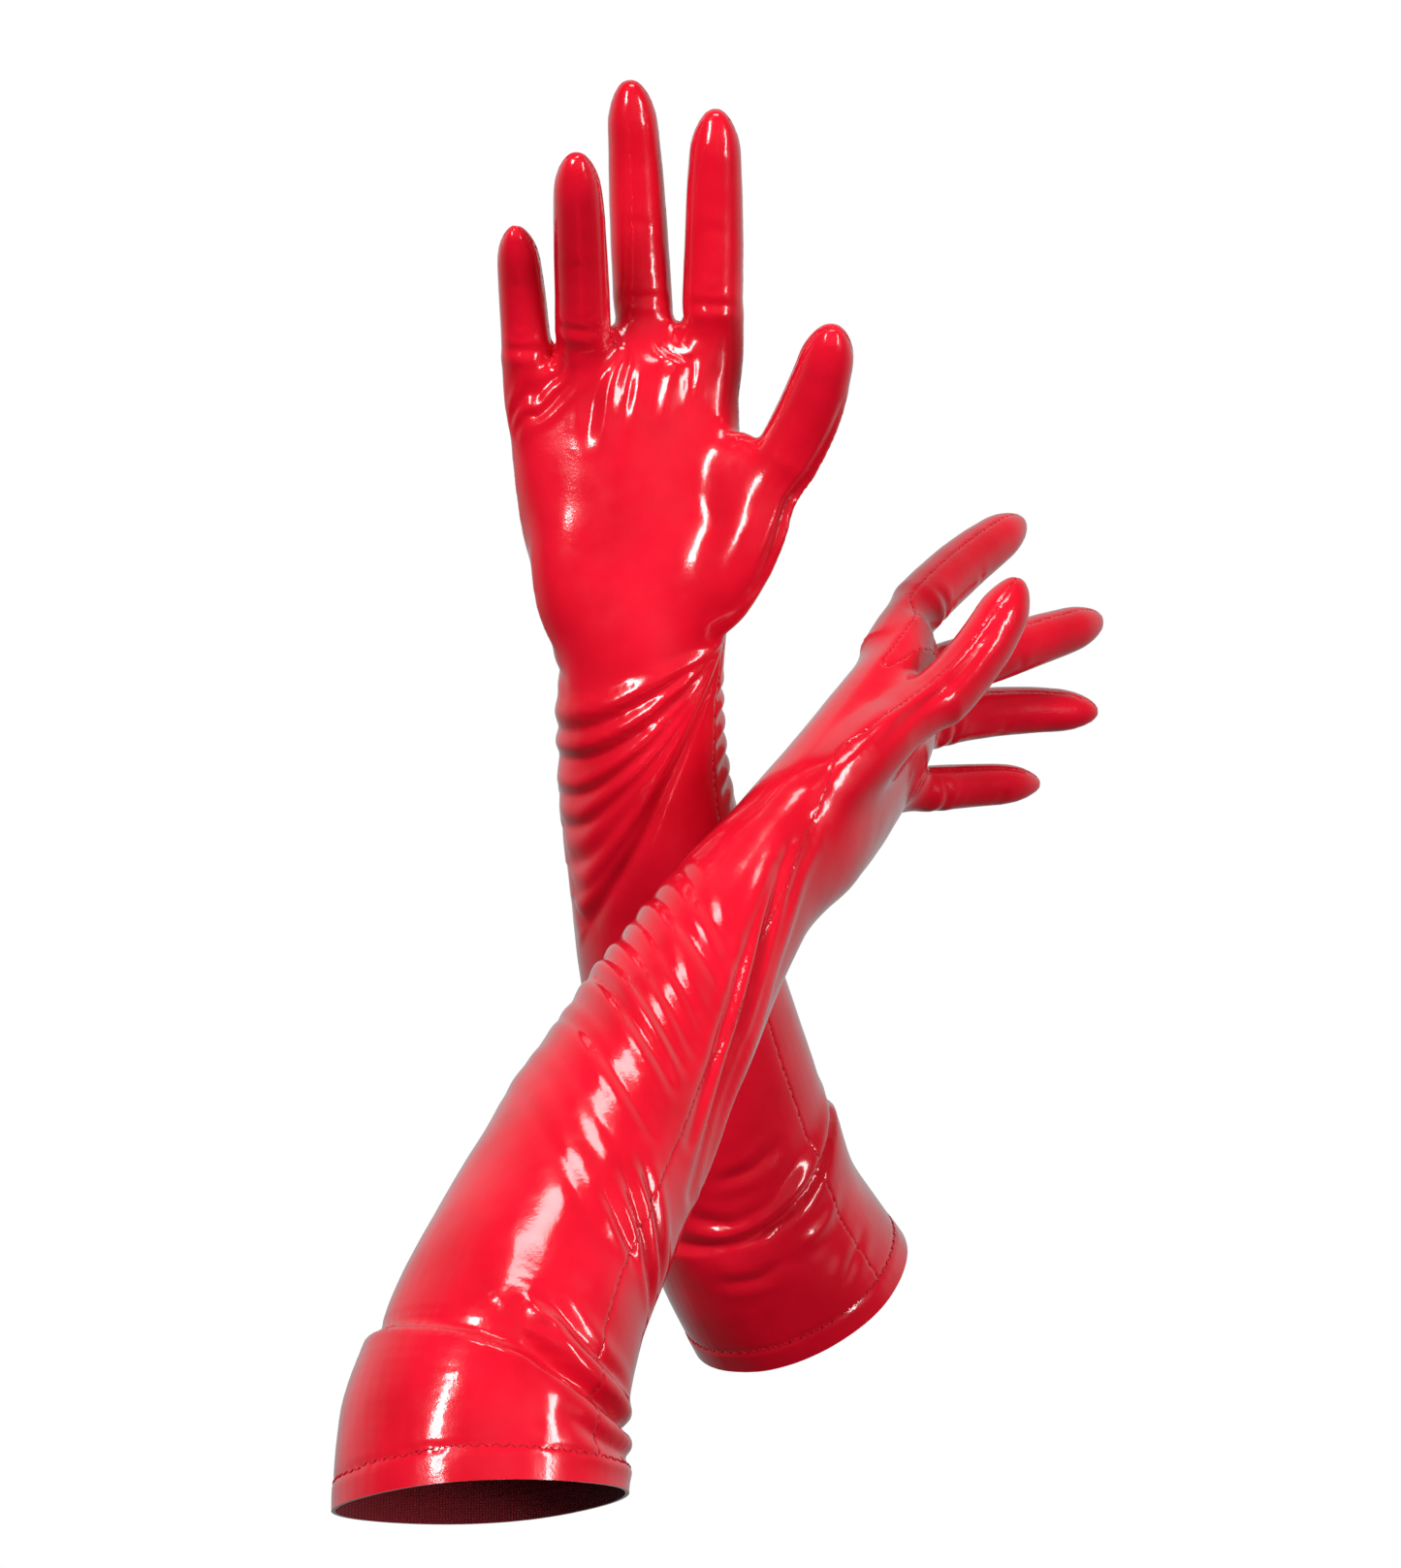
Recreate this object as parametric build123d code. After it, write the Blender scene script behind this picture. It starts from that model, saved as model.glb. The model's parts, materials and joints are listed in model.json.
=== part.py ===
from build123d import *
import math
import os

os.makedirs("parts", exist_ok=True)

# A pair of long stretch-vinyl opera gloves with the shape they take on two crossed forearms.
# The left glove is in front, its cuff at the origin; the right glove stands behind it, palm forward.
# Each glove is two panels, palm and back, sewn round the same outline.
# +X is to the right, +Y is away from the front, +Z is up.

# Driving dimensions, in millimetres
hand_length = 180.0  # wrist fold to the tip of the middle stall
forearm_length = 200.0  # elbow fold to wrist fold
wall = 0.7  # coated knit, with the room it takes when worn
gap = 0.3  # clear space between parts that move apart
size = hand_length / 180.0  # the tables below are for a hand of 180

# Sleeve: width across the thumb side, and thickness from palm to back
rim_width = 80.0 * size
elbow_width = 70.0 * size
wrist_width = 52.0 * size
forearm_shape = (  # share of the way from elbow to wrist, width, thickness, share of the forearm's bow
    (0.22, 67.5, 67.0, 0.5),
    (0.45, 64.5, 62.5, 1.0),
    (0.65, 58.0, 55.0, 0.95),
    (0.82, 53.5, 46.5, 0.6),
)
wrist_thick = 41.0 * size
bend_start = 0.16  # share of the forearm that the elbow's curve takes

# Hem: the edge turned in and stitched down
hem_height = 10.0 * size
hem_wall = 2 * wall
hem_stitches = 76
stitch_line = 0.6  # share of the hem's height at which it is sewn
stitch_long = 2.2
stitch_wide = 0.5
stitch_high = 0.4
stitch_clear = 0.12
stitch_slant = 28.0
seam_pitch = 5.2
seam_lift = 1.25  # from the sleeve's edge to the middle of a stitch

# Hand: places are measured from the wrist fold as (toward the fingers, toward the thumb, toward the back)
wrist_reach = 12.0 * size  # from the wrist fold to each end of the wrist band
palm_shape = (  # distance along the hand, little-finger edge, thumb edge, thickness
    (12.0, -27.0, 26.0, 40.0),
    (26.0, -31.5, 27.5, 36.0),
    (42.0, -35.5, 29.0, 32.5),
    (63.0, -38.5, 30.0, 30.0),
    (78.0, -40.5, 30.5, 27.0),
    (89.0, -40.5, 30.5, 23.0),
    (94.5, -24.0, 30.0, 20.5),
    (102.0, -23.0, 29.0, 17.5),
)
fingers = {  # knuckle place, lengths of the three bones, distance from knuckle to hinge, width
    "index": ((82, 21, 2), (42, 25, 24), 32.0, 16.6),
    "middle": ((86, 1, 3), (45, 28, 25), 29.5, 16.0),
    "ring": ((81, -17, 2), (42, 27, 25), 32.0, 15.0),
    "little": ((71, -32, -1), (33, 20, 20), 30.0, 13.0),
}
thumb_bones = (46, 32, 30)
thumb_hinge = 54.0  # distance from the thumb's root to its hinge
thumb_width = 19.5
root_reach = 5.5 * size  # half the length of the soft ring at the root of each stall
root_swell = 1.03  # width of a stall's root over the width of the stall
stub_start = -4.0  # where a finger's stub starts inside the palm, measured from the knuckle
cut_reach = 1.0  # how far a hollowing cut runs past an open end
stall_profile = (  # share of the way from hinge to tip, width as a share of the base
    (0.30, 1.00),
    (0.62, 0.93),
    (0.80, 0.85),
    (0.905, 0.69),
    (0.968, 0.42),
)
stall_flatness = 0.96  # thickness over width
thenar_shape = (  # distance from the thumb's root, width, thickness
    (5.5, 16.0, 14.0),
    (12.0, 24.0, 20.0),
    (20.0, 30.0, 25.0),
    (30.0, 30.0, 26.0),
    (39.0, 26.0, 23.5),
)


def toward(azimuth, elevation):
    """A unit vector; azimuth turns from +X toward +Y, elevation rises to +Z."""
    a = math.radians(azimuth)
    e = math.radians(elevation)
    return Vector(math.cos(e) * math.cos(a), math.cos(e) * math.sin(a), math.sin(e))


def square(vector, axis):
    """The part of a vector that is square to an axis, at unit length."""
    return (vector - axis * vector.dot(axis)).normalized()


# How each arm and hand is held. Splay opens a finger toward the thumb; curls bend it toward the palm.
# The bow is how far the middle of the forearm lies toward the thumb and toward the back.
left_elbow = Vector(0, 8, 41)
left = {
    "name": "left",
    "mirror": -1,
    "rim": Vector(0, 0, 0),
    "elbow": left_elbow,
    "wrist": left_elbow + toward(55.3, 45.3) * forearm_length,
    "point": toward(56, 37),
    "thumb_side": toward(-86, 47),
    "splay": {"index": -6, "middle": -12, "ring": -18, "little": -22},
    "knuckle_curl": {"index": 0, "middle": 25, "ring": 21, "little": 27},
    "middle_curl": {"index": 8, "middle": 0, "ring": 16, "little": 7},
    "thumb_root": (8, 20, -9),
    "thumb_turn": (4, 13, 27),
    "thumb_drop": (14, 9, 9),
    "bow": (0.0, 3.0),
}
right_elbow = Vector(77, 230, 66)
right = {
    "name": "right",
    "mirror": 1,
    "rim": Vector(93, 247, 34),
    "elbow": right_elbow,
    "wrist": right_elbow + toward(-114, 62.3) * forearm_length,
    "point": toward(-93, 83),
    "thumb_side": toward(-4, 0),
    "splay": {"index": 2, "middle": -2, "ring": 2, "little": -2},
    "knuckle_curl": {"index": 5, "middle": 0, "ring": 28, "little": 9},
    "middle_curl": {"index": 7, "middle": 12, "ring": 7, "little": 17},
    "thumb_root": (13, 19, -9),
    "thumb_turn": (32, 22, 22),
    "thumb_drop": (0, 24, 18),
    "bow": (-8.4, 0.0),
}


def cuff_way(glove):
    """The direction of the cuff, from its rim toward the elbow."""
    return (glove["elbow"] - glove["rim"]).normalized()


def hand_axes(glove):
    """Unit vectors toward the fingers, the thumb side and the back of the hand."""
    along = glove["point"]
    side = square(glove["thumb_side"], along)
    return along, side, along.cross(side) * glove["mirror"]


def in_hand(glove, place):
    """A place in the hand, given as (along, toward the thumb, toward the back)."""
    along, side, back = hand_axes(glove)
    return glove["wrist"] + (along * place[0] + side * place[1] + back * place[2]) * size


def finger_points(glove, name):
    """Knuckle, middle joint, end joint and tip of one finger."""
    along, side, back = hand_axes(glove)
    place, bones, _, _ = fingers[name]
    splay = math.radians(glove["splay"][name])
    flat = along * math.cos(splay) + side * math.sin(splay)
    curl = glove["knuckle_curl"][name]
    points = [in_hand(glove, place)]
    for bone, share in zip(bones, (1.0, 0.6, 0.0)):
        angle = math.radians(curl)
        step = flat * math.cos(angle) - back * math.sin(angle)
        points.append(points[-1] + step * bone * size)
        curl += glove["middle_curl"][name] * share
    return points


def thumb_points(glove):
    """Root, knuckle, end joint and tip of the thumb."""
    along, side, back = hand_axes(glove)
    points = [in_hand(glove, glove["thumb_root"])]
    for bone, turn, drop in zip(thumb_bones, glove["thumb_turn"], glove["thumb_drop"]):
        a = math.radians(turn)
        e = math.radians(drop)
        step = (along * math.cos(a) + side * math.sin(a)) * math.cos(e) - back * math.sin(e)
        points.append(points[-1] + step * bone * size)
    return points


def oval(center, way, across, width, thick):
    """An oval face square to the way a tube runs, its width along across."""
    return Plane(origin=center, x_dir=square(across, way), z_dir=way) * Ellipse(width / 2, thick / 2)


def stations(path, distances):
    """The place and direction of a path at each distance along it, also a little before its start."""
    found = []
    for distance in distances:
        share = max(distance, 0.0) / path.length
        way = path.tangent_at(share)
        found.append((path.position_at(share) + way * min(distance, 0.0), way))
    return found


def tube(path, across, rows, shrink=0.0, tip=None):
    """A solid through ovals along a path; rows are (distance, width, thickness)."""
    faces = []
    places = stations(path, [row[0] for row in rows])
    for (center, way), (_, width, thick) in zip(places, rows):
        faces.append(oval(center, way, across, width - 2 * shrink, thick - 2 * shrink))
    if tip is not None:
        faces.append(Vertex(*tip))
    return loft(faces, ruled=True)


def hollow_tube(path, across, rows):
    """An open ring of cloth through ovals along a path."""
    first, last = rows[0], rows[-1]
    longer = [(first[0] - cut_reach, *first[1:]), *rows[1:-1], (last[0] + cut_reach, *last[1:])]
    return tube(path, across, rows) - tube(path, across, longer, wall)


def halves(shell, middle, back):
    """The palm and back halves of a shell; an offcut of one is sewn to the other."""
    plane = Plane(origin=middle, z_dir=back)
    palm_pieces = split(shell, plane, Keep.BOTTOM).solids().sort_by(SortBy.VOLUME)
    back_pieces = split(shell, plane, Keep.TOP).solids().sort_by(SortBy.VOLUME)
    palm_half, back_half = palm_pieces[-1], back_pieces[-1]
    for offcut in back_pieces[:-1]:
        palm_half += offcut
    for offcut in palm_pieces[:-1]:
        back_half += offcut
    return palm_half, back_half


def save(glove, name, shape):
    export_step(shape, f"parts/{glove['name']}_{name}.step")


def stall_rows(hinge, length, width):
    """Widths along a stall, from its lower edge to near its tip."""
    base = width * root_swell
    rows = [(hinge + root_reach, base, base * stall_flatness)]
    for share, part in stall_profile:
        rows.append((hinge + share * (length - hinge), width * part, width * part * stall_flatness))
    return rows


def make_stall(glove, name, points, hinge, width):
    """One finger of the glove: a palm half, a back half, and the soft ring at its root."""
    _, side, back = hand_axes(glove)
    path = Spline(*points)
    rows = stall_rows(hinge, path.length, width)
    inner_rows = [(rows[0][0] - cut_reach, *rows[0][1:]), *rows[1:]]
    tip = points[-1]
    way = path.tangent_at(1)
    shell = tube(path, side, rows, 0.0, tip) - tube(path, side, inner_rows, wall, tip - way * wall)
    chord = (tip - path.position_at(rows[0][0] / path.length)).normalized()
    palm_half, back_half = halves(shell, (tip + points[1]) * 0.5, square(back, chord))
    save(glove, f"{name}_palm_panel", palm_half)
    save(glove, f"{name}_back_panel", back_half)
    base = width * root_swell
    reach = root_reach - gap
    ring_rows = [(hinge + share * reach, base, base * stall_flatness) for share in (-1.0, 0.0, 1.0)]
    save(glove, f"{name}_root_ring", hollow_tube(path, side, ring_rows))


def palm_tube(glove, shrink):
    """The body of the hand, from the wrist to the webs."""
    along, side, _ = hand_axes(glove)
    faces = []
    for number, (distance, little_edge, thumb_edge, thick) in enumerate(palm_shape):
        longer = cut_reach if shrink and number == 0 else 0.0
        place = (distance - longer, (little_edge + thumb_edge) / 2, 0)
        width = (thumb_edge - little_edge) * size
        faces.append(oval(in_hand(glove, place), along, side, width - 2 * shrink, thick * size - 2 * shrink))
    return loft(faces, ruled=True)


def finger_stub(glove, name, shrink):
    """The short start of a finger that belongs to the hand panels."""
    _, side, _ = hand_axes(glove)
    _, _, hinge, width = fingers[name]
    path = Spline(*finger_points(glove, name))
    end = hinge * size - root_reach + (cut_reach if shrink else 0.0)
    base = width * root_swell * size
    rows = [(stub_start + shrink, base, base * stall_flatness), (end, base, base * stall_flatness)]
    return tube(path, side, rows, shrink)


def thumb_stub(glove, shrink):
    """The ball of the thumb and the start of its stall."""
    _, side, _ = hand_axes(glove)
    path = Spline(*thumb_points(glove))
    end = thumb_hinge * size - root_reach + (cut_reach if shrink else 0.0)
    base = thumb_width * root_swell * size
    rows = [(distance * size, width * size, thick * size) for distance, width, thick in thenar_shape]
    rows.append((end, base, base * stall_flatness))
    return tube(path, side, rows, shrink)


def hand_solid(glove, shrink):
    solid = palm_tube(glove, shrink)
    for name in fingers:
        solid += finger_stub(glove, name, shrink)
    return solid + thumb_stub(glove, shrink)


def make_hand(glove):
    """Palm and back panels of the hand, and the soft band at the wrist."""
    along, side, back = hand_axes(glove)
    shell = hand_solid(glove, 0.0) - hand_solid(glove, wall)
    palm_half, back_half = halves(shell, glove["wrist"], back)
    save(glove, "hand_palm_panel", palm_half)
    save(glove, "hand_back_panel", back_half)
    forearm_way = (glove["wrist"] - glove["elbow"]).normalized()
    reach = wrist_reach - gap
    path = Bezier(glove["wrist"] - forearm_way * reach, glove["wrist"], glove["wrist"] + along * reach)
    rows = [(path.length * share, wrist_width, wrist_thick) for share in (0.0, 0.5, 1.0)]
    save(glove, "wrist_band", hollow_tube(path, side, rows))


def sleeve_stations(glove):
    """(center, direction, width, thickness) from the hem's top edge up to the wrist band."""
    elbow, wrist = glove["elbow"], glove["wrist"]
    forearm_way = (wrist - elbow).normalized()
    low = glove["rim"] + cuff_way(glove) * hem_height
    high = elbow + forearm_way * forearm_length * bend_start
    bend = Bezier(low, elbow, high)
    found = []
    for share in (0.0, 0.3, 0.6, 1.0):
        width = rim_width + (elbow_width - rim_width) * math.sin(share * math.pi / 2)
        found.append((bend.position_at(share), bend.tangent_at(share), width, width - share))
    _, side, _ = hand_axes(glove)
    side = square(side, forearm_way)
    back = forearm_way.cross(side) * glove["mirror"]
    bow = side * glove["bow"][0] + back * glove["bow"][1]
    for share, width, thick, bow_share in forearm_shape:
        center = elbow + forearm_way * forearm_length * share + bow * bow_share * size
        found.append((center, forearm_way, width * size, thick * size))
    end = wrist - forearm_way * wrist_reach
    found.append((end, forearm_way, wrist_width, wrist_thick))
    return found


def half_ring(center, way, across, width, thick, start):
    """Half of a ring of cloth, from the start angle half way round."""
    outer = EllipticalCenterArc((0, 0), width / 2, thick / 2, start, arc_size=180)
    inner = EllipticalCenterArc((0, 0), width / 2 - wall, thick / 2 - wall, start, arc_size=180)
    edges = [outer, Line(outer @ 1, inner @ 1), inner, Line(inner @ 0, outer @ 0)]
    plane = Plane(origin=center, x_dir=square(across, way), z_dir=way)
    return plane * make_face(edges)


def make_sleeve(glove):
    """Palm and back panels from the hem over the elbow to the wrist."""
    _, side, _ = hand_axes(glove)
    back_start = 0 if glove["mirror"] > 0 else 180
    for name, start in (("back", back_start), ("palm", 180 - back_start)):
        faces = [half_ring(c, way, side, w, t, start) for c, way, w, t in sleeve_stations(glove)]
        save(glove, f"sleeve_{name}_panel", loft(faces, ruled=True))


def make_hem(glove):
    """The turned-in edge of the cuff, with its row of stitches."""
    _, side, _ = hand_axes(glove)
    way = cuff_way(glove)
    plane = Plane(origin=glove["rim"], x_dir=square(side, way), z_dir=way)
    low = (Align.CENTER, Align.CENTER, Align.MIN)
    ring = Cylinder(rim_width / 2, hem_height, align=low)
    ring -= Cylinder(rim_width / 2 - hem_wall, hem_height, align=low)
    save(glove, "hem_band", plane * ring)
    stitch = Box(stitch_high, stitch_long, stitch_wide)
    radius = rim_width / 2 + stitch_clear + stitch_high / 2
    stitches = []
    for number in range(hem_stitches):
        slant = stitch_slant if number % 2 else -stitch_slant
        spin = Rot(0, 0, 360 * number / hem_stitches) * Pos(radius, 0, hem_height * stitch_line)
        stitches.append(plane * spin * Rot(slant, 0, 0) * stitch)
    save(glove, "hem_stitches", Compound(children=stitches))


def make_side_seam(glove, name, sign):
    """A row of stitches up one side of the sleeve, where the panels are sewn together."""
    _, side, _ = hand_axes(glove)
    stitch = Box(stitch_high, stitch_wide, stitch_long)
    stitches = []
    rows = sleeve_stations(glove)
    for low, high in zip(rows, rows[1:]):
        steps = max(1, round((high[0] - low[0]).length / seam_pitch))
        for step in range(steps):
            share = (step + 0.5) / steps
            way = (low[1] * (1 - share) + high[1] * share).normalized()
            edges = []
            for center, tangent, width, _ in (low, high):
                edges.append(center + square(side, tangent) * sign * (width / 2))
            place = edges[0] * (1 - share) + edges[1] * share
            out = square(side, way) * sign
            run = (edges[1] - edges[0]).normalized()
            frame = Plane(origin=place + out * seam_lift, x_dir=square(out, run), z_dir=run)
            stitches.append(frame * stitch)
    save(glove, f"{name}_side_seam", Compound(children=stitches))


for glove in (left, right):
    make_hem(glove)
    make_sleeve(glove)
    make_side_seam(glove, "thumb", 1)
    make_side_seam(glove, "little", -1)
    make_hand(glove)
    for finger, (_, _, hinge, width) in fingers.items():
        make_stall(glove, finger, finger_points(glove, finger), hinge * size, width * size)
    make_stall(glove, "thumb", thumb_points(glove), thumb_hinge * size, thumb_width * size)
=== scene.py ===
import json
import math

import bpy
import numpy as np
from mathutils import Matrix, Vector, noise


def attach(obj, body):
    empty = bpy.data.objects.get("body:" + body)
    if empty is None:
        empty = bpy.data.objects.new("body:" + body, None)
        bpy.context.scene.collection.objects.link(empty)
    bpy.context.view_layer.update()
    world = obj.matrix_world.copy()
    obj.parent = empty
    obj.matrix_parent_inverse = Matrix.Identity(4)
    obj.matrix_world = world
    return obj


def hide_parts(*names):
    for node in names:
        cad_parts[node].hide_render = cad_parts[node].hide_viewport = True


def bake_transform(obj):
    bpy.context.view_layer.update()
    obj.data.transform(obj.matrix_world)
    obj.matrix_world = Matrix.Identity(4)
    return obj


# Two glossy vinyl opera gloves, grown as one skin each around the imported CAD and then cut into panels.
# Lengths in this script are millimetres until a mesh is made; MM turns them into metres.
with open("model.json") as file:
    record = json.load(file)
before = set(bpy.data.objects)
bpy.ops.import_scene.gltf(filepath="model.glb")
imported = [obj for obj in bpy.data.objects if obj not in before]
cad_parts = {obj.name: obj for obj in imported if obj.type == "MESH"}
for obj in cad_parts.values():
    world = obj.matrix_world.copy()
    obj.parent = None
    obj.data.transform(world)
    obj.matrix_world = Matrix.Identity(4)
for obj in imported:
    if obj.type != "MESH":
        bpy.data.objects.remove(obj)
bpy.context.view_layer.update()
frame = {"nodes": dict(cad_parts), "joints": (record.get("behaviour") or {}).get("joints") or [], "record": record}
MM = 0.001
JOINTS = {joint["name"]: joint for joint in frame["joints"]}
MOUNTS = {mount["name"]: mount for mount in frame["record"]["mounts"]}
FINGERS = ("index", "middle", "ring", "little")
STALLS = ("thumb",) + FINGERS

# Shape of the skin, from the rim of the cuff to the fingertips
VOXEL = 1.1
CLOTH = 0.55
ELBOW_REACH = 41.8
BEND_SHARE = 0.16
CUFF_SHAPE = {  # distance from the rim, width, thickness, offsets toward the thumb and the back
    "left": ((-14.0, 80.0, 83.0, 0.0, 4.5), (0.0, 80.0, 83.0, 0.0, 4.5), (26.0, 78.0, 80.0, 0.0, 4.5)),
    "right": ((-14.0, 79.0, 80.0, 0.0, 0.0), (0.0, 79.0, 80.0, 0.0, 0.0), (26.0, 76.0, 78.0, -2.0, 0.0)),
}
SLEEVE_SHAPE = (  # share of the way from elbow to wrist, width, thickness, share of the forearm's bow
    (0.0, 71.5, 74.5, 0.4),
    (0.10, 69.5, 71.5, 0.4),
    (0.22, 67.5, 69.0, 0.6),
    (0.45, 64.5, 62.5, 1.0),
    (0.65, 58.0, 55.0, 0.95),
    (0.82, 54.0, 47.0, 0.8),
    (0.94, 52.0, 41.5, 0.35),
)
FOREARM_BOW = {"left": (0.0, 4.5), "right": (-8.4, 0.0)}
PALM_SHIFT = {"left": (-3.8, 5.5), "right": (0.0, 0.0)}  # toward the back, and extra thickness
STALL_SHIFT = {  # toward the thumb, half way to the hinge, at the hinge and at the tip
    "left": {},
    "right": {
        "index": (1.0, 1.3, 1.3),
        "middle": (0.5, 1.2, 1.4),
        "little": (-1.2, -1.3, -1.0),
        "thumb": (4.0, -5.4, -4.0),
    },
}
STALL_LONGER = {"index": 2.6, "thumb": 2.2}  # past the stall's CAD tip
PALM_SHAPE = (
    (0.0, -26.0, 26.0, 40.0),
    (12.0, -28.5, 27.5, 38.0),
    (26.0, -32.2, 29.0, 34.5),
    (42.0, -37.5, 31.0, 31.5),
    (63.0, -40.0, 32.0, 28.5),
    (80.0, -41.0, 32.0, 25.0),
    (92.0, -41.0, 31.5, 21.0),
    (98.0, -32.0, 30.0, 17.5),
)
KNUCKLES = {"index": (82, 21, 2), "middle": (86, 1, 3), "ring": (81, -17, 2), "little": (71, -32, -1)}
STALL_WIDTH = {"index": 18.4, "middle": 17.8, "ring": 16.8, "little": 14.8, "thumb": 19.6}
STALL_SHAPE = ((-0.45, 1.04), (0.0, 1.03), (0.30, 1.0), (0.60, 0.945), (0.80, 0.86), (1.0, 0.70))
THENAR_SHAPE = ((0, 14.0, 12.0), (10, 21.0, 20.0), (20, 22.5, 23.0), (30, 23.0, 23.0), (42, 21.5, 21.0))
WEBS = (("index", 26.0, "middle", 22.0), ("middle", 22.5, "ring", 27.0), ("ring", 17.0, "little", 26.5))
PADS = (((32, 14, -7), (52, 34, 20)), ((34, -17, -6), (66, 34, 20)), ((84, -4, -4), (30, 60, 16)))
WEB_DEPTH = 11.0  # from a web's edge to the middle of its pad
WEB_PAD = (23.0, 6.0, 15.0)  # length, width added to the gap, and thickness
THUMB_WEB = (46.0, (64, 20, -4))  # the pad's end along the thumb, and its end in the hand
THUMB_WEB_PAD = (32.0, 14.0, 17.0)
FLATNESS = 0.96
TIP_LENGTH = 15.0
TIP_ROUNDING = 6.0
STALL_REACH = 0.85  # how many stall widths from its spine a point may be and still be the stall's
HEM_HEIGHT = 8.0
SLEEVE_BLUR = 9.0  # length over which the sleeve's sizes blend into one another
HAND_START, HAND_END = 226.0, 352.0  # distances from the rim between which the hand is smoothed
CALM_ROUNDS, WEB_ROUNDS = 150, 30
THUMB_CALM = 10.0  # how much further the smoothing runs up the thumb than up a finger
SLEEVE_ARC = 0.52  # millimetres of sleeve for each degree of turn
FOLD_LIMIT = 2.6
ARM_STITCH = (2.5, 1.7, 0.2, 0.0)  # pitch, length, thread radius and slant
HEM_STITCH = (1.9, 2.1, 0.2, 0.65)
STALL_STITCH = (2.2, 1.4, 0.17, 0.0)


def unit(vector):
    return vector / np.linalg.norm(vector)


def square(vector, axis):
    return unit(vector - axis * np.dot(vector, axis))


def ramp(value, low, high):
    """0 below low, 1 above high, and smooth between."""
    t = np.clip((value - low) / (high - low), 0.0, 1.0)
    return t * t * (3 - 2 * t)


def node_points(node):
    mesh = frame["nodes"][node].data
    points = np.empty(len(mesh.vertices) * 3)
    mesh.vertices.foreach_get("co", points)
    return points.reshape(-1, 3) / MM


def bezier(points, count):
    """Points along a cubic or quadratic curve."""
    t = np.linspace(0, 1, count)[:, None]
    if len(points) == 3:
        a, b, c = points
        return (1 - t) ** 2 * a + 2 * t * (1 - t) * b + t**2 * c
    a, b, c, d = points
    return (1 - t) ** 3 * a + 3 * t * (1 - t) ** 2 * b + 3 * t**2 * (1 - t) * c + t**3 * d


class Spine:
    """A smooth line with its distance along, directions and across vectors."""

    def __init__(self, points, side):
        self.points = np.array(points)
        steps = np.linalg.norm(np.diff(self.points, axis=0), axis=1)
        self.distance = np.concatenate([[0.0], np.cumsum(steps)])
        self.way = np.array([unit(v) for v in np.gradient(self.points, axis=0)])
        self.side = np.array([square(side, way) for way in self.way])
        self.up = np.cross(self.way, self.side)
        self.length = self.distance[-1]

    def locate(self, places):
        """For each place: distance along, and offsets toward side and up, from the nearest stretch."""
        along = np.empty(len(places))
        lateral = np.empty(len(places))
        height = np.empty(len(places))
        for start in range(0, len(places), 20000):
            block = places[start : start + 20000]
            gaps = ((block[:, None, :] - self.points[None, :, :]) ** 2).sum(axis=2)
            near = gaps.argmin(axis=1)
            offset = block - self.points[near]
            shift = (offset * self.way[near]).sum(axis=1)
            along[start : start + 20000] = self.distance[near] + shift
            lateral[start : start + 20000] = (offset * self.side[near]).sum(axis=1)
            height[start : start + 20000] = (offset * self.up[near]).sum(axis=1)
        return along, lateral, height


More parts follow.
